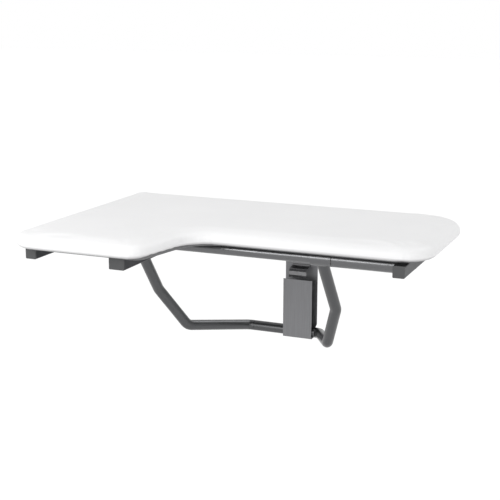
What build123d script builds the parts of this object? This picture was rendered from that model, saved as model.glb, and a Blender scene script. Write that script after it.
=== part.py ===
from build123d import *

import os

# Wall-mounted folding shower seat with an L-shaped padded top.
#
# Millimetres. X runs along the wall, to the right for someone facing it. Y points into the wall, so the
# seat stands out towards -Y from the wall plane Y = 0. Z is up. The origin is on the wall plane, at the
# centre of the screw pattern of the guide hook.

os.makedirs("parts", exist_ok=True)

# Where the seat stands
SEAT_LEFT = -437.0
SEAT_TOP = 130.0
WALL_GAP = 35.5

# L-shaped outline, measured from the rear left corner of the seat
SEAT_WIDTH = 854.0
DEEP_DEPTH = 586.0
SHALLOW_DEPTH = 388.0
DEEP_WIDTH = 308.0
STEP_FOOT = 345.5
STEP_OUTER_RADIUS = 40.0
STEP_INNER_RADIUS = 71.0
FRONT_LEFT_RADIUS = 64.0
FRONT_RIGHT_RADIUS = 66.0
REAR_RIGHT_RADIUS = 111.0
REAR_LEFT_RADIUS = 25.0
SMALLEST_RADIUS = 5.0

# Cushion and backing board
CUSHION_THICKNESS = 27.5
VINYL_THICKNESS = 1.2
CUSHION_TOP_ROUND = 15.0
CUSHION_LOW_ROUND = 8.0
HEM_WIDTH = 45.0
BOARD_THICKNESS = 9.5
BOARD_LEFT_INSET = 15.5
BOARD_REAR_INSET = 8.0
BOARD_DEEP_INSET = 31.0
BOARD_STEP_INSET = 12.0
BOARD_SHALLOW_INSET = 29.0
BOARD_RIGHT_INSET = 24.0
BOARD_FRONT_RADIUS = 25.0
BOARD_EDGE_ROUND = 1.0

# Rails: centre and front end from the rear left corner of the seat, then width
RAIL_HEIGHT = 25.4
RAIL_WALL = 1.6
RAIL_CORNER = 2.4
RAIL_REAR_INSET = 7.5
RAILS = {
    "left": (27.7, 534.0, 25.4),
    "middle": (245.0, 548.0, 36.0),
    "right": (796.3, 386.0, 25.4),
}
PLUG_HEAD = 2.5
PLUG_ROUND = 1.2
FRONT_PLUG_SPIGOT = 14.0
REAR_PLUG_SPIGOT = 3.5
SCREW_RADIUS = 2.5
SCREW_HEAD_RADIUS = 5.0
SCREW_HEAD_HEIGHT = 2.4
SCREW_HEAD_ROUND = 1.6
SCREW_BITE = 6.0
SCREW_REAR_INSET = 70.0
SCREW_FRONT_INSET = 60.0

# Hinge rod at the rear and pivot tube under the seat
HINGE_INSET = 18.5
HINGE_ROD_RADIUS = 6.35
RUNNING_CLEARANCE = 0.05
COLLAR_RADIUS = 11.0
COLLAR_WIDTH = 10.0
COLLAR_PLAY = 0.5
PIVOT_INSET = 320.5
PIVOT_TUBE_RADIUS = 12.7
TUBE_WALL = 1.6
SLEEVE_RADIUS = 15.875
SLEEVE_BORE = 14.4
SLEEVE_LENGTH = 46.0
SLEEVE_INNER_REACH = 21.0
SLEEVE_GAP = 1.6
SLEEVE_DROP = 0.3
STOP_COLLAR_WIDTH = 12.0

# Bent strut, corners of its centre line from the rear left corner and the top of the seat
STRUT_RADIUS = 12.7
STRUT_CENTRE = 388.0
ARM_REACH = 222.0
CORNER_REACH = 180.0
BEND_DEPTH = 215.0
BEND_DROP = 192.7
CORNER_DEPTH = 145.0
CORNER_DROP = 296.5
BAR_DROP = 329.5
BEND_RADIUS = 45.0
CORNER_RADIUS = 30.0
KINK_RADIUS = 20.0
ARMS = {"left": (302.0, 318.0), "right": (491.0, 477.3)}
SPLIT_GAP = 0.6

# Guide hook, bent from one sheet
SHEET = 2.0
BEND_INSIDE = 1.5
BACK_WIDTH = 84.0
BACK_TOP = 38.0
BACK_CORNER = 5.0
HOOK_WIDTH = 75.0
FRONT_TOP = -64.4
SHOULDER_TOP = -182.0
SHOULDER_LOW = -193.0
BAR_PLAY = 0.5
FLOOR_PLAY = 0.3
GUIDE_HOLE_X = 30.0
GUIDE_HOLE_Z = 19.0
SCREW_HOLE_RADIUS = 3.6

# Spring catch riveted to the guide hook
CATCH_WIDTH = 45.0
CATCH_STRIP = 1.2
CATCH_TOP = 12.0
RIVET_X = 11.0
RIVET_RADIUS = 2.4
RIVET_HEAD_RADIUS = 4.4
RIVET_HEAD_HEIGHT = 1.6
RIVET_HEAD_ROUND = 1.2

# Wall brackets
BRACKETS = {"left": -329.0, "right": 253.0}
WALL_PLATE = 76.2
WALL_PLATE_THICKNESS = 4.8
WALL_PLATE_CORNER = 5.0
WALL_HOLE_SPACING = 50.8
EAR_THICKNESS = 5.0
EAR_OFFSET = 14.0
EAR_NOSE_RADIUS = 12.0
EAR_PLAY = 1.5
EAR_HEIGHT = 62.0
EAR_SHOULDER = 4.0
EAR_TOE = 10.0
BUSH_RADIUS = 8.5
BUSH_FLANGE_RADIUS = 11.0
BUSH_FLANGE = 1.5

# Levels and lines that follow from the sizes above
SEAT_REAR = -WALL_GAP
CUSHION_BOTTOM = SEAT_TOP - CUSHION_THICKNESS
BOARD_BOTTOM = CUSHION_BOTTOM - BOARD_THICKNESS
RAIL_BOTTOM = BOARD_BOTTOM - RAIL_HEIGHT
RAIL_MIDDLE = BOARD_BOTTOM - RAIL_HEIGHT / 2
HINGE_Y = SEAT_REAR - HINGE_INSET
HINGE_Z = RAIL_MIDDLE
PIVOT_Y = SEAT_REAR - PIVOT_INSET
PIVOT_Z = BOARD_BOTTOM - SLEEVE_RADIUS - SLEEVE_DROP
BAR_Y = -SHEET - BAR_PLAY - STRUT_RADIUS
BAR_Z = SEAT_TOP - BAR_DROP
FRONT_INSIDE = BAR_Y - STRUT_RADIUS - BAR_PLAY
FRONT_OUTSIDE = FRONT_INSIDE - SHEET
HOOK_FLOOR = BAR_Z - STRUT_RADIUS - FLOOR_PLAY
HOOK_BOTTOM = HOOK_FLOOR - SHEET
EAR_TOP = HINGE_Z - HINGE_INSET - EAR_PLAY
WALL_PLATE_MIDDLE = EAR_TOP - WALL_PLATE / 2
INNER_LEFT = SEAT_LEFT + RAILS["left"][0] + RAILS["left"][2] / 2
INNER_RIGHT = SEAT_LEFT + RAILS["right"][0] - RAILS["right"][2] / 2


def finish(builder, name):
    """Label a finished piece and write its file."""
    builder.part.label = name
    export_step(builder.part, f"parts/{name}.step")


def across(x, y=0.0, z=0.0):
    """Plane across X through (x, y, z), with its own x along +Y and its own y along +Z."""
    return Plane(origin=(x, y, z), x_dir=(0, 1, 0), z_dir=(1, 0, 0))


def ring(name, x, y, z, length, outer, inner):
    """Ring or tube that starts at x and runs along +X."""
    with BuildPart() as piece:
        with BuildSketch(across(x, y, z)):
            Circle(outer)
            Circle(inner, mode=Mode.SUBTRACT)
        extrude(amount=length)
    finish(piece, name)


def seat_outline(inset):
    """Rounded L-shaped outline of the cushion, moved inwards by the inset."""
    left = SEAT_LEFT + inset
    right = SEAT_LEFT + SEAT_WIDTH - inset
    rear = SEAT_REAR - inset
    deep = SEAT_REAR - DEEP_DEPTH + inset
    shallow = SEAT_REAR - SHALLOW_DEPTH + inset
    corners = {
        (left, rear): REAR_LEFT_RADIUS - inset,
        (left, deep): FRONT_LEFT_RADIUS - inset,
        (SEAT_LEFT + DEEP_WIDTH - inset, deep): STEP_OUTER_RADIUS - inset,
        (SEAT_LEFT + STEP_FOOT - inset, shallow): STEP_INNER_RADIUS + inset,
        (right, shallow): FRONT_RIGHT_RADIUS - inset,
        (right, rear): REAR_RIGHT_RADIUS - inset,
    }
    radii = [max(radius, SMALLEST_RADIUS) for radius in corners.values()]
    return FilletPolyline(*corners, radius=radii, close=True)


def board_outline():
    """Outline of the backing board, set back by a different amount along each edge of the cushion."""
    left = SEAT_LEFT + BOARD_LEFT_INSET
    right = SEAT_LEFT + SEAT_WIDTH - BOARD_RIGHT_INSET
    rear = SEAT_REAR - BOARD_REAR_INSET
    deep = SEAT_REAR - DEEP_DEPTH + BOARD_DEEP_INSET
    shallow = SEAT_REAR - SHALLOW_DEPTH + BOARD_SHALLOW_INSET
    step_lean = (STEP_FOOT - DEEP_WIDTH) / (DEEP_DEPTH - SHALLOW_DEPTH)
    step_top = SEAT_LEFT + DEEP_WIDTH - BOARD_STEP_INSET + step_lean * BOARD_DEEP_INSET
    step_foot = SEAT_LEFT + STEP_FOOT - BOARD_STEP_INSET + step_lean * BOARD_SHALLOW_INSET
    corners = {
        (left, rear): REAR_LEFT_RADIUS - BOARD_REAR_INSET,
        (left, deep): BOARD_FRONT_RADIUS,
        (step_top, deep): BOARD_FRONT_RADIUS,
        (step_foot, shallow): STEP_INNER_RADIUS + BOARD_STEP_INSET,
        (right, shallow): FRONT_RIGHT_RADIUS - BOARD_SHALLOW_INSET,
        (right, rear): REAR_RIGHT_RADIUS - BOARD_RIGHT_INSET,
    }
    return FilletPolyline(*corners, radius=list(corners.values()), close=True)


def screw_spots(side):
    """Places of the two board screws of one rail."""
    centre, front, _ = RAILS[side]
    x = SEAT_LEFT + centre
    return [(x, SEAT_REAR - SCREW_REAR_INSET), (x, SEAT_REAR - front + SCREW_FRONT_INSET)]


# Cushion: vinyl cover over a foam core, on a flat backing board

with BuildPart() as foam_core:
    with BuildSketch(Plane.XY.offset(CUSHION_BOTTOM + VINYL_THICKNESS)):
        with BuildLine():
            seat_outline(VINYL_THICKNESS)
        make_face()
    extrude(amount=CUSHION_THICKNESS - 2 * VINYL_THICKNESS)
    fillet(foam_core.faces().sort_by(Axis.Z)[-1].edges(), CUSHION_TOP_ROUND - VINYL_THICKNESS)
    fillet(foam_core.faces().sort_by(Axis.Z)[0].edges(), CUSHION_LOW_ROUND - VINYL_THICKNESS)
    with BuildSketch(Plane.XY.offset(CUSHION_BOTTOM)):
        with BuildLine():
            seat_outline(HEM_WIDTH)
        make_face()
    extrude(amount=VINYL_THICKNESS)
finish(foam_core, "foam_core")

with BuildPart() as vinyl_cover:
    with BuildSketch(Plane.XY.offset(CUSHION_BOTTOM)):
        with BuildLine():
            seat_outline(0.0)
        make_face()
    extrude(amount=CUSHION_THICKNESS)
    fillet(vinyl_cover.faces().sort_by(Axis.Z)[-1].edges(), CUSHION_TOP_ROUND)
    fillet(vinyl_cover.faces().sort_by(Axis.Z)[0].edges(), CUSHION_LOW_ROUND)
    add(foam_core.part, mode=Mode.SUBTRACT)
finish(vinyl_cover, "vinyl_cover")

with BuildPart() as backing_board:
    with BuildSketch(Plane.XY.offset(BOARD_BOTTOM)):
        with BuildLine():
            board_outline()
        make_face()
    extrude(amount=BOARD_THICKNESS)
    with BuildSketch(Plane.XY.offset(BOARD_BOTTOM)):
        for rail_side in RAILS:
            with Locations(*screw_spots(rail_side)):
                Circle(SCREW_RADIUS)
    extrude(amount=SCREW_BITE, mode=Mode.SUBTRACT)
    fillet(backing_board.faces().sort_by(Axis.Z)[0].outer_wire().edges(), BOARD_EDGE_ROUND)
finish(backing_board, "backing_board")

# Rails under the board, with the plugs that close their ends

for rail_side, (rail_centre, rail_front, rail_width) in RAILS.items():
    rail_x = SEAT_LEFT + rail_centre
    rear_point = (rail_x, SEAT_REAR - RAIL_REAR_INSET, RAIL_MIDDLE)
    front_point = (rail_x, SEAT_REAR - rail_front, RAIL_MIDDLE)
    rear_end = Plane(origin=rear_point, x_dir=(1, 0, 0), z_dir=(0, 1, 0))
    front_end = Plane(origin=front_point, x_dir=(1, 0, 0), z_dir=(0, -1, 0))
    inside_width = rail_width - 2 * RAIL_WALL
    inside_height = RAIL_HEIGHT - 2 * RAIL_WALL
    inside_corner = RAIL_CORNER - RAIL_WALL

    with BuildPart() as rail:
        with BuildSketch(rear_end):
            RectangleRounded(rail_width, RAIL_HEIGHT, RAIL_CORNER)
            RectangleRounded(inside_width, inside_height, inside_corner, mode=Mode.SUBTRACT)
        extrude(amount=RAIL_REAR_INSET - rail_front)
        with BuildSketch(across(rail_x, HINGE_Y, HINGE_Z)):
            Circle(HINGE_ROD_RADIUS)
        extrude(amount=rail_width, both=True, mode=Mode.SUBTRACT)
        with BuildSketch(Plane.XY.offset(RAIL_BOTTOM)):
            with Locations(*screw_spots(rail_side)):
                Circle(SCREW_RADIUS)
        extrude(amount=RAIL_HEIGHT, mode=Mode.SUBTRACT)
        if rail_side == "middle":
            with BuildSketch(across(rail_x, PIVOT_Y, PIVOT_Z)):
                Circle(PIVOT_TUBE_RADIUS)
            extrude(amount=rail_width, both=True, mode=Mode.SUBTRACT)
    finish(rail, f"{rail_side}_rail")

    for end_name, end_plane, spigot in (
        ("front", front_end, FRONT_PLUG_SPIGOT),
        ("rear", rear_end, REAR_PLUG_SPIGOT),
    ):
        with BuildPart() as plug:
            with BuildSketch(end_plane):
                RectangleRounded(rail_width, RAIL_HEIGHT, RAIL_CORNER)
            extrude(amount=PLUG_HEAD)
            outer_face = plug.faces().filter_by(Axis.Y).group_by(Axis.Y)[0 if end_name == "front" else -1]
            fillet(outer_face.edges(), PLUG_ROUND)
            with BuildSketch(end_plane):
                RectangleRounded(inside_width, inside_height, inside_corner)
            extrude(amount=-spigot)
        finish(plug, f"{rail_side}_rail_{end_name}_plug")

with BuildPart() as board_screws:
    for rail_side in RAILS:
        with BuildSketch(Plane.XY.offset(RAIL_BOTTOM)):
            with Locations(*screw_spots(rail_side)):
                Circle(SCREW_RADIUS)
        extrude(amount=RAIL_HEIGHT + SCREW_BITE)
        with BuildSketch(Plane.XY.offset(RAIL_BOTTOM)):
            with Locations(*screw_spots(rail_side)):
                Circle(SCREW_HEAD_RADIUS)
        extrude(amount=-SCREW_HEAD_HEIGHT)
    fillet(board_screws.faces().filter_by(Axis.Z).group_by(Axis.Z)[0].edges(), SCREW_HEAD_ROUND)
finish(board_screws, "board_screws")

# Hinge rod through the rails, and pivot tube with its spacer and stop collar

ROD_START = SEAT_LEFT + RAILS["left"][0] - RAILS["left"][2] / 2
ROD_END = SEAT_LEFT + RAILS["right"][0] + RAILS["right"][2] / 2
with BuildPart() as hinge_rod:
    with BuildSketch(across(ROD_START, HINGE_Y, HINGE_Z)):
        Circle(HINGE_ROD_RADIUS)
    extrude(amount=ROD_END - ROD_START)
finish(hinge_rod, "hinge_rod")

COLLAR_GAP = EAR_OFFSET + EAR_THICKNESS / 2 + BUSH_FLANGE + COLLAR_PLAY
with BuildPart() as hinge_collars:
    for bracket_side, direction in (("left", 1), ("right", -1)):
        collar_x = BRACKETS[bracket_side] + direction * COLLAR_GAP
        with BuildSketch(across(collar_x, HINGE_Y, HINGE_Z)):
            Circle(COLLAR_RADIUS)
            Circle(HINGE_ROD_RADIUS, mode=Mode.SUBTRACT)
        extrude(amount=direction * COLLAR_WIDTH)
finish(hinge_collars, "hinge_collars")

TUBE_BORE = PIVOT_TUBE_RADIUS - TUBE_WALL
ring("pivot_tube", INNER_LEFT, PIVOT_Y, PIVOT_Z, INNER_RIGHT - INNER_LEFT, PIVOT_TUBE_RADIUS, TUBE_BORE)

LEFT_SLEEVE = SEAT_LEFT + STRUT_CENTRE - ARM_REACH + SLEEVE_INNER_REACH - SLEEVE_LENGTH
RIGHT_SLEEVE = SEAT_LEFT + STRUT_CENTRE + ARM_REACH - SLEEVE_INNER_REACH
STOP_START = LEFT_SLEEVE - SLEEVE_GAP - STOP_COLLAR_WIDTH
SPACER_START = RIGHT_SLEEVE + SLEEVE_LENGTH + SLEEVE_GAP
SPACER_LENGTH = INNER_RIGHT - SPACER_START
ring("stop_collar", STOP_START, PIVOT_Y, PIVOT_Z, STOP_COLLAR_WIDTH, SLEEVE_RADIUS, PIVOT_TUBE_RADIUS)
ring("pivot_spacer", SPACER_START, PIVOT_Y, PIVOT_Z, SPACER_LENGTH, SLEEVE_RADIUS, PIVOT_TUBE_RADIUS)

# Bent strut: arms, their sleeves and bushes, and the bar that slides in the guide hook

BUSH_BORE = PIVOT_TUBE_RADIUS + RUNNING_CLEARANCE
for arm_side, direction in (("left", -1), ("right", 1)):
    sleeve_start = LEFT_SLEEVE if arm_side == "left" else RIGHT_SLEEVE
    ring(f"{arm_side}_arm_sleeve", sleeve_start, PIVOT_Y, PIVOT_Z, SLEEVE_LENGTH, SLEEVE_RADIUS, SLEEVE_BORE)
    ring(f"{arm_side}_sleeve_bush", sleeve_start, PIVOT_Y, PIVOT_Z, SLEEVE_LENGTH, SLEEVE_BORE, BUSH_BORE)

    kink_x, split_x = ARMS[arm_side]
    arm_x = SEAT_LEFT + STRUT_CENTRE + direction * ARM_REACH
    corner_x = SEAT_LEFT + STRUT_CENTRE + direction * CORNER_REACH
    arm_top = Vector(arm_x, PIVOT_Y, PIVOT_Z)
    arm_bend = Vector(arm_x, SEAT_REAR - BEND_DEPTH, SEAT_TOP - BEND_DROP)
    arm_corner = Vector(corner_x, SEAT_REAR - CORNER_DEPTH, SEAT_TOP - CORNER_DROP)
    arm_kink = Vector(SEAT_LEFT + kink_x, BAR_Y, BAR_Z)
    arm_end = Vector(SEAT_LEFT + split_x, BAR_Y, BAR_Z)
    with BuildPart() as strut_arm:
        with BuildLine() as route:
            FilletPolyline(
                arm_top, arm_bend, arm_corner, arm_kink, arm_end,
                radius=[BEND_RADIUS, CORNER_RADIUS, KINK_RADIUS],
            )
        with BuildSketch(Plane(origin=arm_top, x_dir=(1, 0, 0), z_dir=arm_bend - arm_top)):
            Circle(STRUT_RADIUS)
            Circle(STRUT_RADIUS - TUBE_WALL, mode=Mode.SUBTRACT)
        sweep(path=route.wires()[0])
        with BuildSketch(across(arm_x, PIVOT_Y, PIVOT_Z)):
            Circle(SLEEVE_RADIUS)
        extrude(amount=SLEEVE_LENGTH, both=True, mode=Mode.SUBTRACT)
    finish(strut_arm, f"{arm_side}_strut_arm")

BAR_START = SEAT_LEFT + ARMS["left"][1] + SPLIT_GAP
BAR_LENGTH = ARMS["right"][1] - ARMS["left"][1] - 2 * SPLIT_GAP
ring("slide_bar", BAR_START, BAR_Y, BAR_Z, BAR_LENGTH, STRUT_RADIUS, STRUT_RADIUS - TUBE_WALL)

# Guide hook on the wall, with the spring catch and its rivets

with BuildPart() as guide_hook:
    with BuildSketch(Plane.XZ):
        Polygon(
            (-BACK_WIDTH / 2, BACK_TOP),
            (BACK_WIDTH / 2, BACK_TOP),
            (BACK_WIDTH / 2, SHOULDER_TOP),
            (HOOK_WIDTH / 2, SHOULDER_LOW),
            (HOOK_WIDTH / 2, HOOK_BOTTOM),
            (-HOOK_WIDTH / 2, HOOK_BOTTOM),
            (-HOOK_WIDTH / 2, SHOULDER_LOW),
            (-BACK_WIDTH / 2, SHOULDER_TOP),
            align=None,
        )
    extrude(amount=SHEET)
    with BuildSketch(across(-HOOK_WIDTH / 2)):
        Polygon(
            (0, HOOK_BOTTOM),
            (FRONT_OUTSIDE, HOOK_BOTTOM),
            (FRONT_OUTSIDE, FRONT_TOP),
            (FRONT_INSIDE, FRONT_TOP),
            (FRONT_INSIDE, HOOK_FLOOR),
            (0, HOOK_FLOOR),
            align=None,
        )
    extrude(amount=HOOK_WIDTH)
    long_edges = guide_hook.edges().filter_by(Axis.X)
    fillet(long_edges.group_by(Axis.Z)[0], BEND_INSIDE + SHEET)
    low_edges = guide_hook.edges().filter_by(Axis.X)
    floor_edges = low_edges.filter_by_position(Axis.Z, HOOK_FLOOR - 0.01, HOOK_FLOOR + 0.01)
    fillet(floor_edges, BEND_INSIDE)
    with BuildSketch(Plane.XZ):
        with GridLocations(2 * GUIDE_HOLE_X, 2 * GUIDE_HOLE_Z, 2, 2):
            Circle(SCREW_HOLE_RADIUS)
        with GridLocations(2 * RIVET_X, 1, 2, 1):
            Circle(RIVET_RADIUS)
    extrude(amount=SHEET, mode=Mode.SUBTRACT)
    fillet(guide_hook.edges().filter_by(Axis.Y).group_by(Axis.Z)[-1], BACK_CORNER)
finish(guide_hook, "guide_hook")

CATCH_BACK = -SHEET - CATCH_STRIP / 2
CATCH_JAW = FRONT_OUTSIDE
with BuildPart() as spring_catch:
    with BuildSketch(across(-CATCH_WIDTH / 2)):
        with BuildLine():
            FilletPolyline(
                (CATCH_BACK, CATCH_TOP),
                (CATCH_BACK, -30.5),
                (CATCH_BACK - 5.0, -34.5),
                (CATCH_JAW + 3.0, -38.0),
                (CATCH_JAW, -44.0),
                (CATCH_JAW + 0.6, -53.0),
                (CATCH_JAW - 3.0, -58.0),
                radius=[2.5, 2.5, 3.0, 3.0, 2.0],
            )
        trace(line_width=CATCH_STRIP)
    extrude(amount=CATCH_WIDTH)
    with BuildSketch(Plane.XZ.offset(SHEET)):
        with GridLocations(2 * RIVET_X, 1, 2, 1):
            Circle(RIVET_RADIUS)
    extrude(amount=CATCH_STRIP, mode=Mode.SUBTRACT)
finish(spring_catch, "spring_catch")

with BuildPart() as catch_rivets:
    with BuildSketch(Plane.XZ):
        with GridLocations(2 * RIVET_X, 1, 2, 1):
            Circle(RIVET_RADIUS)
    extrude(amount=SHEET + CATCH_STRIP)
    with BuildSketch(Plane.XZ.offset(SHEET + CATCH_STRIP)):
        with GridLocations(2 * RIVET_X, 1, 2, 1):
            Circle(RIVET_HEAD_RADIUS)
    extrude(amount=RIVET_HEAD_HEIGHT)
    fillet(catch_rivets.faces().filter_by(Axis.Y).group_by(Axis.Y)[0].edges(), RIVET_HEAD_ROUND)
finish(catch_rivets, "catch_rivets")

# Wall brackets: a plate with two ears each, and nylon bushes for the hinge rod

NOSE_FRONT = HINGE_Y - EAR_NOSE_RADIUS
NOSE_REAR = HINGE_Y + EAR_NOSE_RADIUS
EAR_FOOT = -WALL_PLATE_THICKNESS
for bracket_side, bracket_x in BRACKETS.items():
    with BuildPart() as wall_plate:
        with BuildSketch(Plane.XZ):
            with Locations((bracket_x, WALL_PLATE_MIDDLE)):
                RectangleRounded(WALL_PLATE, WALL_PLATE, WALL_PLATE_CORNER)
                with GridLocations(WALL_HOLE_SPACING, WALL_HOLE_SPACING, 2, 2):
                    Circle(SCREW_HOLE_RADIUS, mode=Mode.SUBTRACT)
        extrude(amount=WALL_PLATE_THICKNESS)
    finish(wall_plate, f"{bracket_side}_wall_plate")

    for ear_name, direction in (("west", -1), ("east", 1)):
        ear_x = bracket_x + direction * EAR_OFFSET
        with BuildPart() as ear:
            with BuildSketch(across(ear_x - EAR_THICKNESS / 2)):
                with BuildLine():
                    Polyline(
                        (NOSE_FRONT, HINGE_Z),
                        (NOSE_FRONT, EAR_TOP - EAR_SHOULDER),
                        (EAR_FOOT - EAR_TOE, EAR_TOP - EAR_HEIGHT),
                        (EAR_FOOT, EAR_TOP - EAR_HEIGHT),
                        (EAR_FOOT, EAR_TOP),
                        (NOSE_REAR, EAR_TOP),
                        (NOSE_REAR, HINGE_Z),
                    )
                    ThreePointArc(
                        (NOSE_REAR, HINGE_Z), (HINGE_Y, HINGE_Z + EAR_NOSE_RADIUS), (NOSE_FRONT, HINGE_Z)
                    )
                make_face()
                with Locations((HINGE_Y, HINGE_Z)):
                    Circle(BUSH_RADIUS, mode=Mode.SUBTRACT)
            extrude(amount=EAR_THICKNESS)
        finish(ear, f"{bracket_side}_{ear_name}_ear")

        with BuildPart() as ear_bush:
            with BuildSketch(across(ear_x - EAR_THICKNESS / 2, HINGE_Y, HINGE_Z)):
                Circle(BUSH_RADIUS)
            extrude(amount=EAR_THICKNESS)
            with BuildSketch(across(ear_x + direction * EAR_THICKNESS / 2, HINGE_Y, HINGE_Z)):
                Circle(BUSH_FLANGE_RADIUS)
            extrude(amount=direction * BUSH_FLANGE)
            with BuildSketch(across(ear_x, HINGE_Y, HINGE_Z)):
                Circle(HINGE_ROD_RADIUS + RUNNING_CLEARANCE)
            extrude(amount=EAR_THICKNESS, both=True, mode=Mode.SUBTRACT)
        finish(ear_bush, f"{bracket_side}_{ear_name}_bush")
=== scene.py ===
"""Looks of the wall-mounted folding shower seat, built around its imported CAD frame, in metres."""

import math

import bmesh
import bpy
from mathutils import Matrix, Vector
from mathutils.bvhtree import BVHTree


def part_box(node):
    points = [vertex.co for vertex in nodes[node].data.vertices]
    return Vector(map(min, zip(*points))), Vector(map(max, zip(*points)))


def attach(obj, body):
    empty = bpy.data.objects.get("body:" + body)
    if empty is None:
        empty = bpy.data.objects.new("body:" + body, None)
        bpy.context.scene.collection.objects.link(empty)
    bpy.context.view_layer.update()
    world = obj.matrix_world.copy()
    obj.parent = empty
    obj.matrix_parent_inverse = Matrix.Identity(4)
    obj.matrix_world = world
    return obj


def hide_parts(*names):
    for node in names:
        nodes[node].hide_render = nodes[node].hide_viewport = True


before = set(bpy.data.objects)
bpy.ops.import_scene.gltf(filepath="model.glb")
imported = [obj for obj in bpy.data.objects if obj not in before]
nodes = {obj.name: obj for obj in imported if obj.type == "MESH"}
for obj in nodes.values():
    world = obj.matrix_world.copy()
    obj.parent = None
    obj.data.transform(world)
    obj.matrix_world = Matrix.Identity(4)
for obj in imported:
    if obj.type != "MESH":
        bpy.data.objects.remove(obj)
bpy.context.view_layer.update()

# ------------------------------------------------------------------ sizes

CUSHION_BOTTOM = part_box("vinyl_cover")[0][2]
CUSHION_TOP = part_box("vinyl_cover")[1][2]
CAMERA_PLACE = (0.9126, -2.5041, 0.6139)
CAMERA_YAW = math.radians(22.81)
CAMERA_PITCH = math.radians(-12.90)
CAMERA_ROLL = math.radians(0.14)
CAMERA_LENS = 79.26
FLOOR_DROP = 1.25
FLOOR_SIZE = 60.0
FLOOR_WHITE = (0.98, 0.98, 0.98, 1.0)


# ------------------------------------------------------------------ node helpers

UNSTRETCHED = (1, 1, 1)


def new_material(name):
    """An empty node material with its shader joined, as (material, nodes, links, shader)."""
    material = bpy.data.materials.new(name)
    material.use_nodes = True
    tree = material.node_tree
    tree.nodes.clear()
    output = tree.nodes.new("ShaderNodeOutputMaterial")
    shader = tree.nodes.new("ShaderNodeBsdfPrincipled")
    tree.links.new(shader.outputs["BSDF"], output.inputs["Surface"])
    return material, tree.nodes, tree.links, shader


def stretched_coordinates(tree_nodes, links, scale):
    """Object coordinates multiplied by the scale, one number for each axis."""
    coordinates = tree_nodes.new("ShaderNodeTexCoord")
    mapping = tree_nodes.new("ShaderNodeMapping")
    mapping.inputs["Scale"].default_value = scale
    links.new(coordinates.outputs["Object"], mapping.inputs["Vector"])
    return mapping.outputs["Vector"]


def add_noise(tree_nodes, links, vector, scale, detail=4.0, roughness=0.5):
    """Noise texture on the vector."""
    texture = tree_nodes.new("ShaderNodeTexNoise")
    texture.inputs["Scale"].default_value = scale
    texture.inputs["Detail"].default_value = detail
    texture.inputs["Roughness"].default_value = roughness
    links.new(vector, texture.inputs["Vector"])
    return texture.outputs["Fac"]


def add_range(tree_nodes, links, value, low, high, from_low=0.3, from_high=0.7):
    """The value mapped from one range to another."""
    mapped = tree_nodes.new("ShaderNodeMapRange")
    mapped.inputs["From Min"].default_value = from_low
    mapped.inputs["From Max"].default_value = from_high
    mapped.inputs["To Min"].default_value = low
    mapped.inputs["To Max"].default_value = high
    links.new(value, mapped.inputs["Value"])
    return mapped.outputs["Result"]


def add_mix(tree_nodes, links, value, colour_a, colour_b):
    """Colour between a and b by the value."""
    mix = tree_nodes.new("ShaderNodeMix")
    mix.data_type = "RGBA"
    mix.inputs["A"].default_value = (*colour_a, 1.0)
    mix.inputs["B"].default_value = (*colour_b, 1.0)
    links.new(value, mix.inputs["Factor"])
    return mix.outputs["Result"]


def add_math(tree_nodes, links, operation, first, second):
    """Result of the operation on two values, each a number or another node's output."""
    node = tree_nodes.new("ShaderNodeMath")
    node.operation = operation
    for socket, value in zip(node.inputs, (first, second)):
        if isinstance(value, float):
            socket.default_value = value
        else:
            links.new(value, socket)
    return node.outputs["Value"]


def add_bump(tree_nodes, links, height, strength, distance, normal=None):
    """Bump from the height, on top of another bump's normal if one is given."""
    bump = tree_nodes.new("ShaderNodeBump")
    bump.inputs["Strength"].default_value = strength
    bump.inputs["Distance"].default_value = distance
    links.new(height, bump.inputs["Height"])
    if normal is not None:
        links.new(normal, bump.inputs["Normal"])
    return bump.outputs["Normal"]


# ------------------------------------------------------------------ materials

BRUSHING_TINT = 0.10
BRUSHING_GLOSS = 0.03
CLOUD_SCALE = 14.0
BRUSHING_DEPTH = 0.0001
PLASTIC_GRAIN_SCALE = 1400.0
PLASTIC_GRAIN_DEPTH = 0.00015
HANDLING_SCALE = 60.0
PEBBLE_SCALE = 900.0
PEBBLE_DEPTH = 0.00012
FINE_GRAIN_SCALE = 2600.0
FINE_GRAIN_DEPTH = 0.00006
VINYL_CLOUD_SCALE = 7.0
VINYL_WHITE = (0.735, 0.735, 0.739)
VINYL_WHITER = (0.755, 0.755, 0.758)
# Painted shade: the grey of the pad's lowest rim, and the height over which it fades to white.
UNDERSIDE_PAINTED_SHADE_GREY = (0.22, 0.22, 0.225)
UNDERSIDE_PAINTED_SHADE_HEIGHT = 0.006
RIM_DROP = 0.0035
PORE_SCALE = 700.0
PORE_DEPTH = 0.0008
PORE_SHADE = (0.62, 0.55, 0.36)
FOAM_CREAM = (0.86, 0.8, 0.6)


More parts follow.
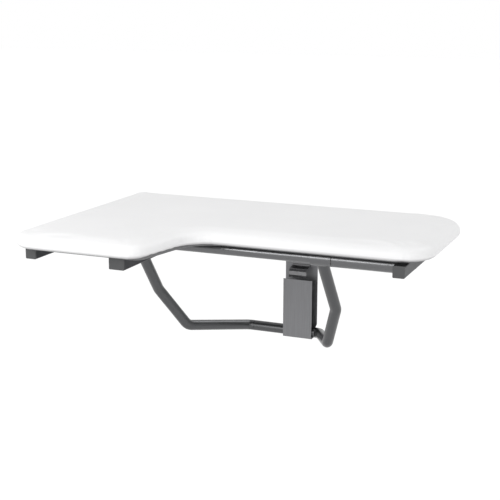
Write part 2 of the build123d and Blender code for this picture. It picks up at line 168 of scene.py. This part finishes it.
def brushed_metal(name, colour, roughness, grain, relief=0.06):
    """Satin stainless steel. grain gives how tightly the brushing lines are packed along each axis."""
    material, tree_nodes, links, shader = new_material(name)
    along = stretched_coordinates(tree_nodes, links, grain)
    lines = add_noise(tree_nodes, links, along, 1.0, 3.0, 0.6)
    plain = stretched_coordinates(tree_nodes, links, UNSTRETCHED)
    cloud = add_noise(tree_nodes, links, plain, CLOUD_SCALE, 4.0, 0.55)
    darker = tuple(channel * (1.0 - BRUSHING_TINT) for channel in colour)
    lighter = tuple(min(channel * (1.0 + BRUSHING_TINT), 1.0) for channel in colour)
    tint = add_mix(tree_nodes, links, add_range(tree_nodes, links, lines, 0.0, 1.0), darker, lighter)
    links.new(tint, shader.inputs["Base Color"])
    glossy, dull = roughness - BRUSHING_GLOSS, roughness + BRUSHING_GLOSS
    brushed = add_range(tree_nodes, links, lines, glossy, dull)
    clouded = add_range(tree_nodes, links, cloud, -0.03, 0.04)
    roughness_sum = add_math(tree_nodes, links, "ADD", brushed, clouded)
    links.new(roughness_sum, shader.inputs["Roughness"])
    shader.inputs["Metallic"].default_value = 1.0
    links.new(add_bump(tree_nodes, links, lines, relief, BRUSHING_DEPTH), shader.inputs["Normal"])
    return material


def moulded_plastic(name, colour, roughness):
    """Moulded plastic with a fine spark-eroded grain and slight handling marks."""
    material, tree_nodes, links, shader = new_material(name)
    plain = stretched_coordinates(tree_nodes, links, UNSTRETCHED)
    grain = add_noise(tree_nodes, links, plain, PLASTIC_GRAIN_SCALE, 2.0, 0.6)
    marks = add_noise(tree_nodes, links, plain, HANDLING_SCALE, 5.0, 0.6)
    darker = tuple(channel * 0.86 for channel in colour)
    tint = add_mix(tree_nodes, links, add_range(tree_nodes, links, marks, 0.0, 1.0), darker, colour)
    links.new(tint, shader.inputs["Base Color"])
    gloss = add_range(tree_nodes, links, marks, roughness - 0.06, roughness + 0.08)
    links.new(gloss, shader.inputs["Roughness"])
    links.new(add_bump(tree_nodes, links, grain, 0.3, PLASTIC_GRAIN_DEPTH), shader.inputs["Normal"])
    return material


def vinyl_upholstery(name):
    """White coated fabric: fine leather-like grain, faint clouding and a soft clear gloss.

    Its lowest few millimetres are painted grey, a painted shade for the shadow under the pad's rim.
    """
    material, tree_nodes, links, shader = new_material(name)
    plain = stretched_coordinates(tree_nodes, links, UNSTRETCHED)
    cells = tree_nodes.new("ShaderNodeTexVoronoi")
    cells.feature = "DISTANCE_TO_EDGE"
    cells.inputs["Scale"].default_value = PEBBLE_SCALE
    cells.inputs["Randomness"].default_value = 0.9
    links.new(plain, cells.inputs["Vector"])
    pebble = add_range(tree_nodes, links, cells.outputs["Distance"], 0.0, 1.0, 0.0, 0.25)
    fine = add_noise(tree_nodes, links, plain, FINE_GRAIN_SCALE, 2.0, 0.6)
    cloud = add_noise(tree_nodes, links, plain, VINYL_CLOUD_SCALE, 3.0, 0.5)
    clouding = add_range(tree_nodes, links, cloud, 0.0, 1.0)
    upper = add_mix(tree_nodes, links, clouding, VINYL_WHITE, VINYL_WHITER)
    height = tree_nodes.new("ShaderNodeSeparateXYZ")
    links.new(plain, height.inputs["Vector"])
    # Painted shade: the colour goes grey over the pad's lowest few millimetres, standing in for the
    # shadow under its rim.
    shade_low, shade_high = CUSHION_BOTTOM - RIM_DROP, CUSHION_BOTTOM + UNDERSIDE_PAINTED_SHADE_HEIGHT
    underside_painted_shade = add_range(tree_nodes, links, height.outputs["Z"], 1.0, 0.0, shade_low, shade_high)
    tint = tree_nodes.new("ShaderNodeMix")
    tint.data_type = "RGBA"
    links.new(underside_painted_shade, tint.inputs["Factor"])
    links.new(upper, tint.inputs["A"])
    tint.inputs["B"].default_value = (*UNDERSIDE_PAINTED_SHADE_GREY, 1.0)
    links.new(tint.outputs["Result"], shader.inputs["Base Color"])
    links.new(add_range(tree_nodes, links, fine, 0.44, 0.56), shader.inputs["Roughness"])
    shader.inputs["Specular IOR Level"].default_value = 0.34
    shader.inputs["Coat Weight"].default_value = 0.06
    shader.inputs["Coat Roughness"].default_value = 0.3
    grain = add_bump(tree_nodes, links, pebble, 0.22, PEBBLE_DEPTH)
    grain = add_bump(tree_nodes, links, fine, 0.15, FINE_GRAIN_DEPTH, grain)
    links.new(grain, shader.inputs["Normal"])
    return material


def foam_material(name):
    """Open-cell upholstery foam."""
    material, tree_nodes, links, shader = new_material(name)
    plain = stretched_coordinates(tree_nodes, links, UNSTRETCHED)
    pores = add_noise(tree_nodes, links, plain, PORE_SCALE, 4.0, 0.7)
    depth = add_range(tree_nodes, links, pores, 0.0, 1.0)
    tint = add_mix(tree_nodes, links, depth, PORE_SHADE, FOAM_CREAM)
    links.new(tint, shader.inputs["Base Color"])
    shader.inputs["Roughness"].default_value = 0.95
    links.new(add_bump(tree_nodes, links, pores, 0.6, PORE_DEPTH), shader.inputs["Normal"])
    return material


LENGTHWISE = 14.0
CROSSWISE = 1500.0
ALL_WAYS = 1300.0
ALONG_X = (LENGTHWISE, CROSSWISE, CROSSWISE)
ALONG_Y = (CROSSWISE, LENGTHWISE, CROSSWISE)
ALONG_Z = (CROSSWISE, CROSSWISE, LENGTHWISE)
EVEN = (ALL_WAYS, ALL_WAYS, ALL_WAYS)

tube_across = brushed_metal("tube_steel_across", (0.145, 0.146, 0.150), 0.28, ALONG_X)
tube_bent = brushed_metal("tube_steel_bent", (0.095, 0.096, 0.099), 0.34, EVEN)
# Painted shade: the rails' steel is set far darker than the other steel, standing in for the shadow
# under the pad.
rail_steel = brushed_metal("rail_steel", (0.050, 0.051, 0.055), 0.42, ALONG_Y)
hook_sheet = brushed_metal("hook_sheet", (0.20, 0.201, 0.208), 0.46, ALONG_Z, 0.03)
spring_strip = brushed_metal("spring_strip", (0.2, 0.2, 0.205), 0.28, ALONG_Z)
plate_steel = brushed_metal("plate_steel", (0.2, 0.2, 0.205), 0.40, ALONG_Z)
fixing_steel = brushed_metal("fixing_steel", (0.28, 0.28, 0.28), 0.30, EVEN)
plug_plastic = moulded_plastic("plug_plastic", (0.055, 0.056, 0.058), 0.5)
nylon = moulded_plastic("nylon", (0.62, 0.61, 0.56), 0.45)
board_laminate = moulded_plastic("board_laminate", (0.17, 0.171, 0.175), 0.55)
foam = foam_material("foam")
vinyl = vinyl_upholstery("vinyl")

NODE_MATERIALS = {
    "foam_core": foam,
    "vinyl_cover": vinyl,
    "backing_board": board_laminate,
    "hinge_rod": tube_across,
    "hinge_collars": fixing_steel,
    "pivot_tube": tube_across,
    "pivot_spacer": tube_across,
    "stop_collar": tube_across,
    "board_screws": fixing_steel,
    "left_strut_arm": tube_bent,
    "right_strut_arm": tube_bent,
    "left_arm_sleeve": tube_across,
    "right_arm_sleeve": tube_across,
    "slide_bar": tube_bent,
    "guide_hook": hook_sheet,
    "spring_catch": spring_strip,
    "catch_rivets": fixing_steel,
}


def material_for(name):
    """The material of a CAD node, by its name."""
    if name in NODE_MATERIALS:
        return NODE_MATERIALS[name]
    if name.endswith("_plug"):
        return plug_plastic
    if name.endswith("_bush"):
        return nylon
    if name.endswith("_rail"):
        return rail_steel
    return plate_steel


for node_name, node_object in nodes.items():
    node_object.data.materials.clear()
    node_object.data.materials.append(material_for(node_name))

# ------------------------------------------------------------------ cushion

VOXEL = 0.005
SKIN = 0.0016
CROWN_CAP = 0.0038
SIDE_CAP = 0.0020
PRESSURE = 4.0
CLOTH_FRAMES = 20
PINNED_HEIGHT = 0.012
INWARD_SHARE = 0.15
EDGE_PUSH = 0.0035
REARWARD_FULL = 0.7
RIM_HEIGHT = 0.012
RIM_REACH = 0.012
RELAX_FACTOR = 0.5


def shade(mesh, smooth):
    """Shades all the mesh's faces smooth, or all of them flat."""
    mesh.polygons.foreach_set("use_smooth", [smooth] * len(mesh.polygons))


def add_object(name, mesh, material):
    """A new object of the mesh with one material, linked to the scene and smooth shaded."""
    piece = bpy.data.objects.new(name, mesh)
    bpy.context.scene.collection.objects.link(piece)
    mesh.materials.clear()
    mesh.materials.append(material)
    shade(mesh, smooth=True)
    return piece


def applied(piece):
    """The piece's mesh with its modifiers applied."""
    depsgraph = bpy.context.evaluated_depsgraph_get()
    return bpy.data.meshes.new_from_object(piece.evaluated_get(depsgraph))


def bake_modifiers(piece):
    """Replaces the piece's mesh by the one with its modifiers applied, and drops the modifiers."""
    mesh = applied(piece)
    piece.modifiers.clear()
    piece.data = mesh


def normals_of(piece):
    """The normal of every vertex, read before any of them moves."""
    return [vertex.normal.copy() for vertex in piece.data.vertices]


def capped(move, cap):
    """The move, shortened smoothly so that it never passes the cap."""
    if move.length == 0:
        return move
    return move * (cap * math.tanh(move.length / cap) / move.length)


def swell(piece):
    """Blows the piece up by cloth simulation, held along its underside, and caps each point's move.

    The cap is tighter sideways than upwards, because the cover is pulled tight round the edge, and
    only a small share of any inward move is kept.
    """
    start = [vertex.co.copy() for vertex in piece.data.vertices]
    pins = piece.vertex_groups.new(name="underside")
    for vertex in piece.data.vertices:
        height = vertex.co.z - CUSHION_BOTTOM
        if height < PINNED_HEIGHT:
            pins.add([vertex.index], 1.0, "REPLACE")
    cloth = piece.modifiers.new("Cloth", "CLOTH")
    settings = cloth.settings
    settings.quality = 4
    settings.mass = 0.3
    settings.tension_stiffness = 20
    settings.compression_stiffness = 20
    settings.shear_stiffness = 10
    settings.bending_stiffness = 2.0
    settings.use_pressure = True
    settings.uniform_pressure_force = PRESSURE
    settings.vertex_group_mass = "underside"
    settings.effector_weights.gravity = 0
    scene = bpy.context.scene
    for number in range(1, CLOTH_FRAMES + 1):
        scene.frame_set(number)
    bake_modifiers(piece)
    scene.frame_set(1)
    for vertex, normal, first in zip(piece.data.vertices, normals_of(piece), start):
        move = vertex.co - first
        if move.dot(normal) < 0:
            move *= INWARD_SHARE
        side = capped(Vector((move.x, move.y, 0.0)), SIDE_CAP)
        rise = capped(Vector((0.0, 0.0, move.z)), CROWN_CAP)
        vertex.co = first + side + rise


def push_edges(piece):
    """Moves the sides out to the full outline, except at the rear, which folds close to the wall."""
    for vertex, normal in zip(piece.data.vertices, normals_of(piece)):
        flat = Vector((normal.x, normal.y, 0.0))
        rearward = min(max(normal.y, 0.0) / REARWARD_FULL, 1.0)
        vertex.co += flat * flat.length * EDGE_PUSH * (1.0 - rearward)


def droop_rim(piece):
    """Lets the lower rim hang a little where it reaches out past the board, which it rests on."""
    board = nodes["backing_board"].data
    corners = [vertex.co for vertex in board.vertices]
    surface = BVHTree.FromPolygons(corners, [list(face.vertices) for face in board.polygons])
    for vertex in piece.data.vertices:
        lowness = 1.0 - (vertex.co.z - CUSHION_BOTTOM) / RIM_HEIGHT
        if lowness > 0.0:
            nearest = surface.find_nearest(vertex.co)[0]
            beyond = min((vertex.co - nearest).xy.length / RIM_REACH, 1.0)
            beyond = beyond * beyond * (3.0 - 2.0 * beyond)
            vertex.co.z -= RIM_DROP * min(lowness, 1.0) * beyond


def make_cushion():
    """The padded top: the foam's shape remeshed, given its skin, swollen, shaped and smoothed."""
    cushion = add_object("cushion", nodes["foam_core"].data.copy(), vinyl)
    remesh = cushion.modifiers.new("Remesh", "REMESH")
    remesh.mode = "VOXEL"
    remesh.voxel_size = VOXEL
    relax = cushion.modifiers.new("Relax", "SMOOTH")
    relax.factor = RELAX_FACTOR
    relax.iterations = 4
    bake_modifiers(cushion)
    for vertex, normal in zip(cushion.data.vertices, normals_of(cushion)):
        if vertex.co.z > CUSHION_BOTTOM + SKIN:
            vertex.co += normal * SKIN
    swell(cushion)
    push_edges(cushion)
    droop_rim(cushion)
    smooth = cushion.modifiers.new("Smooth", "SMOOTH")
    smooth.factor = RELAX_FACTOR
    smooth.iterations = 3
    bake_modifiers(cushion)
    subdivision = cushion.modifiers.new("Subdivision", "SUBSURF")
    subdivision.levels = 1
    subdivision.render_levels = 1
    shade(cushion.data, smooth=True)
    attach(cushion, "seat")
    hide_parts("vinyl_cover", "foam_core")
    return cushion


make_cushion()

# ------------------------------------------------------------------ weld beads and painted shade for the screw recesses

BEAD_RADIUS = 0.0016
BEAD_RIPPLE = 0.0003
RIPPLE_PITCH = 0.0024
BEAD_STEP = 0.0006
BEAD_SIDES = 10
FEWEST_STEPS = 12
LENGTH_SAMPLES = 64
END_SIZE = 0.35
END_GROWTH = 6.0
OFF_AXIS = Vector((0.577, 0.577, 0.577))
ARM_RUN = Vector((0.0, 105.5, -139.5)).normalized()

weld = brushed_metal("weld_steel", (0.15, 0.15, 0.152), 0.36, EVEN, 0.25)
# Painted shade: near-black plastic for the screw heads' cross recesses, standing in for the shade
# inside them.
recess_painted_shade = moulded_plastic("recess_painted_shade", (0.02, 0.02, 0.021), 0.6)


def centre_of(name):
    """Middle of a node's box."""
    low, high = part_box(name)
    return (Vector(low) + Vector(high)) / 2


def finished_mesh(name, mesh_maker):
    """The mesh maker's faces, turned outwards, as a mesh; the maker is used up."""
    bmesh.ops.recalc_face_normals(mesh_maker, faces=mesh_maker.faces)
    mesh = bpy.data.meshes.new(name)
    mesh_maker.to_mesh(mesh)
    mesh_maker.free()
    return mesh


def make_bead(name, body, path, closed=False):
    """Rippled weld bead along the path, a function of 0 to 1, riding on the body."""
    rough = [path(number / LENGTH_SAMPLES) for number in range(LENGTH_SAMPLES + 1)]
    length = sum((after - before).length for before, after in zip(rough, rough[1:]))
    count = max(int(length / BEAD_STEP), FEWEST_STEPS)
    steps = count if closed else count + 1
    ripples = max(round(length / RIPPLE_PITCH), 1)
    mesh_maker = bmesh.new()
    rings = []
    for number in range(steps):
        share = number / count
        point = path(share)
        ahead = path(share + 0.5 / count) - path(share - 0.5 / count)
        side = ahead.cross(OFF_AXIS).normalized()
        up = ahead.cross(side).normalized()
        taper = 1.0 if closed else min(1.0, END_SIZE + END_GROWTH * min(share, 1.0 - share))
        radius = (BEAD_RADIUS + BEAD_RIPPLE * math.cos(math.tau * ripples * share)) * taper
        ring = []
        for corner in range(BEAD_SIDES):
            angle = math.tau * corner / BEAD_SIDES
            spot = point + side * radius * math.cos(angle) + up * radius * math.sin(angle)
            ring.append(mesh_maker.verts.new(spot))
        rings.append(ring)
    pairs = list(zip(rings, rings[1:]))
    if closed:
        pairs.append((rings[-1], rings[0]))
    for first, second in pairs:
        for corner in range(BEAD_SIDES):
            after = (corner + 1) % BEAD_SIDES
            mesh_maker.faces.new((first[corner], first[after], second[after], second[corner]))
    if not closed:
        mesh_maker.faces.new(rings[0][::-1])
        mesh_maker.faces.new(rings[-1])
    bead = add_object(name, finished_mesh(name, mesh_maker), weld)
    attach(bead, body)


def ring_path(x, centre, radius, lowest):
    """Path round the X direction at x, from the lowest height on one side up and over to the other."""
    start = math.asin(max((lowest - centre.z) / radius, -1.0))
    sweep = math.pi - 2 * start

    def path(share):
        angle = start + sweep * share
        y = centre.y - radius * math.cos(angle)
        z = centre.z + radius * math.sin(angle)
        return Vector((x, y, z))

    return path


def saddle_path(centre, sleeve_radius, arm_radius):
    """Path where an arm tube meets the round sleeve."""
    across_arm = ARM_RUN.cross(Vector((1.0, 0.0, 0.0)))

    def path(share):
        angle = math.tau * share
        reach = math.sqrt(sleeve_radius**2 - (arm_radius * math.sin(angle)) ** 2)
        off_axis = Vector((math.cos(angle), 0.0, 0.0)) + across_arm * math.sin(angle)
        return centre + ARM_RUN * reach + off_axis * arm_radius

    return path


def line_path(start, end):
    """Straight path from start to end."""
    return lambda share: start.lerp(end, share)


def make_welds():
    """Beads where the frame's tubes, rails, sleeves, ears and plates are welded together."""
    pivot = centre_of("pivot_tube")
    tube_low, tube_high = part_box("pivot_tube")
    tube_radius = (tube_high[2] - tube_low[2]) / 2
    middle_low, middle_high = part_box("middle_rail")
    rail_bottom = middle_low[2] + BEAD_RADIUS
    for name, x in (
        ("weld_pivot_left_rail", tube_low[0] + BEAD_RADIUS / 2),
        ("weld_pivot_middle_rail_west", middle_low[0] - BEAD_RADIUS / 2),
        ("weld_pivot_middle_rail_east", middle_high[0] + BEAD_RADIUS / 2),
    ):
        make_bead(name, "seat", ring_path(x, pivot, tube_radius, rail_bottom))
    spacer_low, spacer_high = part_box("pivot_spacer")
    spacer_radius = (spacer_high[2] - spacer_low[2]) / 2
    spacer_end = spacer_high[0] - BEAD_RADIUS / 2
    spacer_path = ring_path(spacer_end, pivot, spacer_radius, rail_bottom)
    make_bead("weld_spacer_right_rail", "seat", spacer_path)
    for side in ("left", "right"):
        sleeve_low, sleeve_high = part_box(f"{side}_arm_sleeve")
        arm_low, arm_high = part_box(f"{side}_strut_arm")
        arm_x = arm_low[0] + tube_radius if side == "left" else arm_high[0] - tube_radius
        sleeve_radius = (sleeve_high[2] - sleeve_low[2]) / 2
        joint = Vector((arm_x, pivot.y, pivot.z))
        saddle = saddle_path(joint, sleeve_radius, tube_radius)
        make_bead(f"weld_{side}_arm", "strut", saddle, closed=True)
        plate_low, plate_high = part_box(f"{side}_wall_plate")
        top = plate_high[2] - BEAD_RADIUS
        for ear in ("west", "east"):
            ear_low, ear_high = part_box(f"{side}_{ear}_ear")
            for face, x in (("outer", ear_low[0]), ("inner", ear_high[0])):
                start = Vector((x, plate_low[1], ear_low[2] + BEAD_RADIUS))
                end = Vector((x, plate_low[1], top))
                name = f"weld_{side}_{ear}_ear_{face}"
                make_bead(name, "wall_mounts", line_path(start, end))


RECESS_REACH = 0.0028
RECESS_HALF_WIDTH = 0.0006
RECESS_PROUD = 0.00008
RECESS_THICKNESS = 4 * RECESS_PROUD
RAIL_NEAR = 0.01


def make_recess_painted_shade():
    """Near-black crosses a hair proud of the board screws' heads: painted shade standing in for their
    cross recesses.
    """
    screw_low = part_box("board_screws")[0]
    mesh_maker = bmesh.new()
    level = screw_low[2] - RECESS_PROUD
    screw_points = [vertex.co for vertex in nodes["board_screws"].data.vertices]
    for side in ("left", "middle", "right"):
        rail = centre_of(f"{side}_rail")
        near = [point for point in screw_points if abs(point.x - rail.x) < RAIL_NEAR]
        rear = [point for point in near if point.y > rail.y]
        front = [point for point in near if point.y <= rail.y]
        for group in (rear, front):
            y = (min(point.y for point in group) + max(point.y for point in group)) / 2
            for turn in (0.0, math.pi / 2):
                ends = []
                for corner_x, corner_y in ((-1, -1), (1, -1), (1, 1), (-1, 1)):
                    spot = Vector((corner_x * RECESS_REACH, corner_y * RECESS_HALF_WIDTH, 0.0))
                    spot.rotate(Matrix.Rotation(turn, 3, "Z"))
                    ends.append(mesh_maker.verts.new(Vector((rail.x, y, level)) + spot))
                slot_face = mesh_maker.faces.new(ends)
                walls = bmesh.ops.extrude_face_region(mesh_maker, geom=[slot_face])
                for item in walls["geom"]:
                    if isinstance(item, bmesh.types.BMVert):
                        item.co.z += RECESS_THICKNESS
    mesh = finished_mesh("screw_recess_painted_shade", mesh_maker)
    recesses = add_object("screw_recess_painted_shade", mesh, recess_painted_shade)
    shade(mesh, smooth=False)
    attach(recesses, "seat")


make_welds()
make_recess_painted_shade()

# ------------------------------------------------------------------ floor, light and camera

HORIZON_BAND = (0.03, 0.25)
REAR_BAND = (-0.3, 0.6)
REAR_BRIGHTNESS = 0.80
KEY_DIRECTION = (0.37, 0.885, -0.25)
RIM_DIRECTION = (-0.3, -0.6, -0.74)
STRIP_PLACE = (-0.5, -1.3, 0.42)
STRIP_TARGET = (0.0, -0.35, 0.1)
STRIP_SIZE = (1.1, 0.26)
FRONT_PLACE = (1.3, -3.4, 1.0)
FRONT_TARGET = (0.0, -0.2, -0.1)
FRONT_SIZE = (1.3, 1.3)


def make_floor():
    """Plain pale floor, well below the seat, which hangs from a wall."""
    level = CUSHION_TOP - FLOOR_DROP
    bpy.ops.mesh.primitive_plane_add(size=FLOOR_SIZE, location=(0, 0, level))
    floor = bpy.context.object
    floor.name = "floor"
    material, _, _, shader = new_material("floor")
    shader.inputs["Base Color"].default_value = FLOOR_WHITE
    shader.inputs["Roughness"].default_value = 0.9
    shader.inputs["Specular IOR Level"].default_value = 0.1
    floor.data.materials.append(material)


def make_world(rear_brightness):
    """Pale surroundings, white at the horizon, and dimmer above it on the side behind the seat."""
    world = bpy.data.worlds.new("studio")
    world.use_nodes = True
    tree_nodes = world.node_tree.nodes
    links = world.node_tree.links
    coordinates = tree_nodes.new("ShaderNodeTexCoord")
    direction = tree_nodes.new("ShaderNodeSeparateXYZ")
    links.new(coordinates.outputs["Generated"], direction.inputs["Vector"])
    above = add_range(tree_nodes, links, direction.outputs["Z"], 0.0, 1.0, *HORIZON_BAND)
    dimmest = 1.0 - rear_brightness
    behind = add_range(tree_nodes, links, direction.outputs["Y"], 0.0, dimmest, *REAR_BAND)
    dimming = add_math(tree_nodes, links, "MULTIPLY", above, behind)
    strength = add_math(tree_nodes, links, "SUBTRACT", 1.0, dimming)
    background = tree_nodes["Background"]
    background.inputs["Color"].default_value = (1.0, 1.0, 1.0, 1.0)
    links.new(strength, background.inputs["Strength"])
    bpy.context.scene.world = world


def aimed(direction):
    """Rotation that points a lamp along the direction."""
    return Vector(direction).to_track_quat("-Z", "Y").to_euler()


def make_sun(name, direction, strength, angle):
    """Broad soft sun that shines along the direction."""
    light = bpy.data.lights.new(name, "SUN")
    light.energy = strength
    light.angle = math.radians(angle)
    lamp = bpy.data.objects.new(name, light)
    lamp.rotation_euler = aimed(direction)
    bpy.context.scene.collection.objects.link(lamp)


def make_panel(name, place, target, size, power):
    """Soft rectangular light that faces the target."""
    light = bpy.data.lights.new(name, "AREA")
    light.shape = "RECTANGLE"
    light.size, light.size_y = size
    light.energy = power
    lamp = bpy.data.objects.new(name, light)
    lamp.location = place
    lamp.rotation_euler = aimed(Vector(target) - Vector(place))
    lamp.visible_camera = False
    bpy.context.scene.collection.objects.link(lamp)


def make_camera():
    """Camera above the seat, in front of it and to its right."""
    camera = bpy.data.cameras.new("camera")
    camera.lens = CAMERA_LENS
    camera.sensor_width = 36.0
    viewer = bpy.data.objects.new("camera", camera)
    viewer.location = CAMERA_PLACE
    yaw = Matrix.Rotation(CAMERA_YAW, 4, "Z")
    pitch = Matrix.Rotation(math.pi / 2 + CAMERA_PITCH, 4, "X")
    roll = Matrix.Rotation(CAMERA_ROLL, 4, "Z")
    viewer.rotation_euler = (yaw @ pitch @ roll).to_euler()
    bpy.context.scene.collection.objects.link(viewer)
    bpy.context.scene.camera = viewer


make_floor()
make_world(REAR_BRIGHTNESS)
make_sun("key", KEY_DIRECTION, strength=0.25, angle=15.0)
make_sun("rim", RIM_DIRECTION, strength=0.5, angle=25.0)
make_panel("strip", STRIP_PLACE, STRIP_TARGET, STRIP_SIZE, power=3.4)
make_panel("front", FRONT_PLACE, FRONT_TARGET, FRONT_SIZE, power=9.0)
make_camera()
bpy.context.scene.view_settings.view_transform = "Standard"
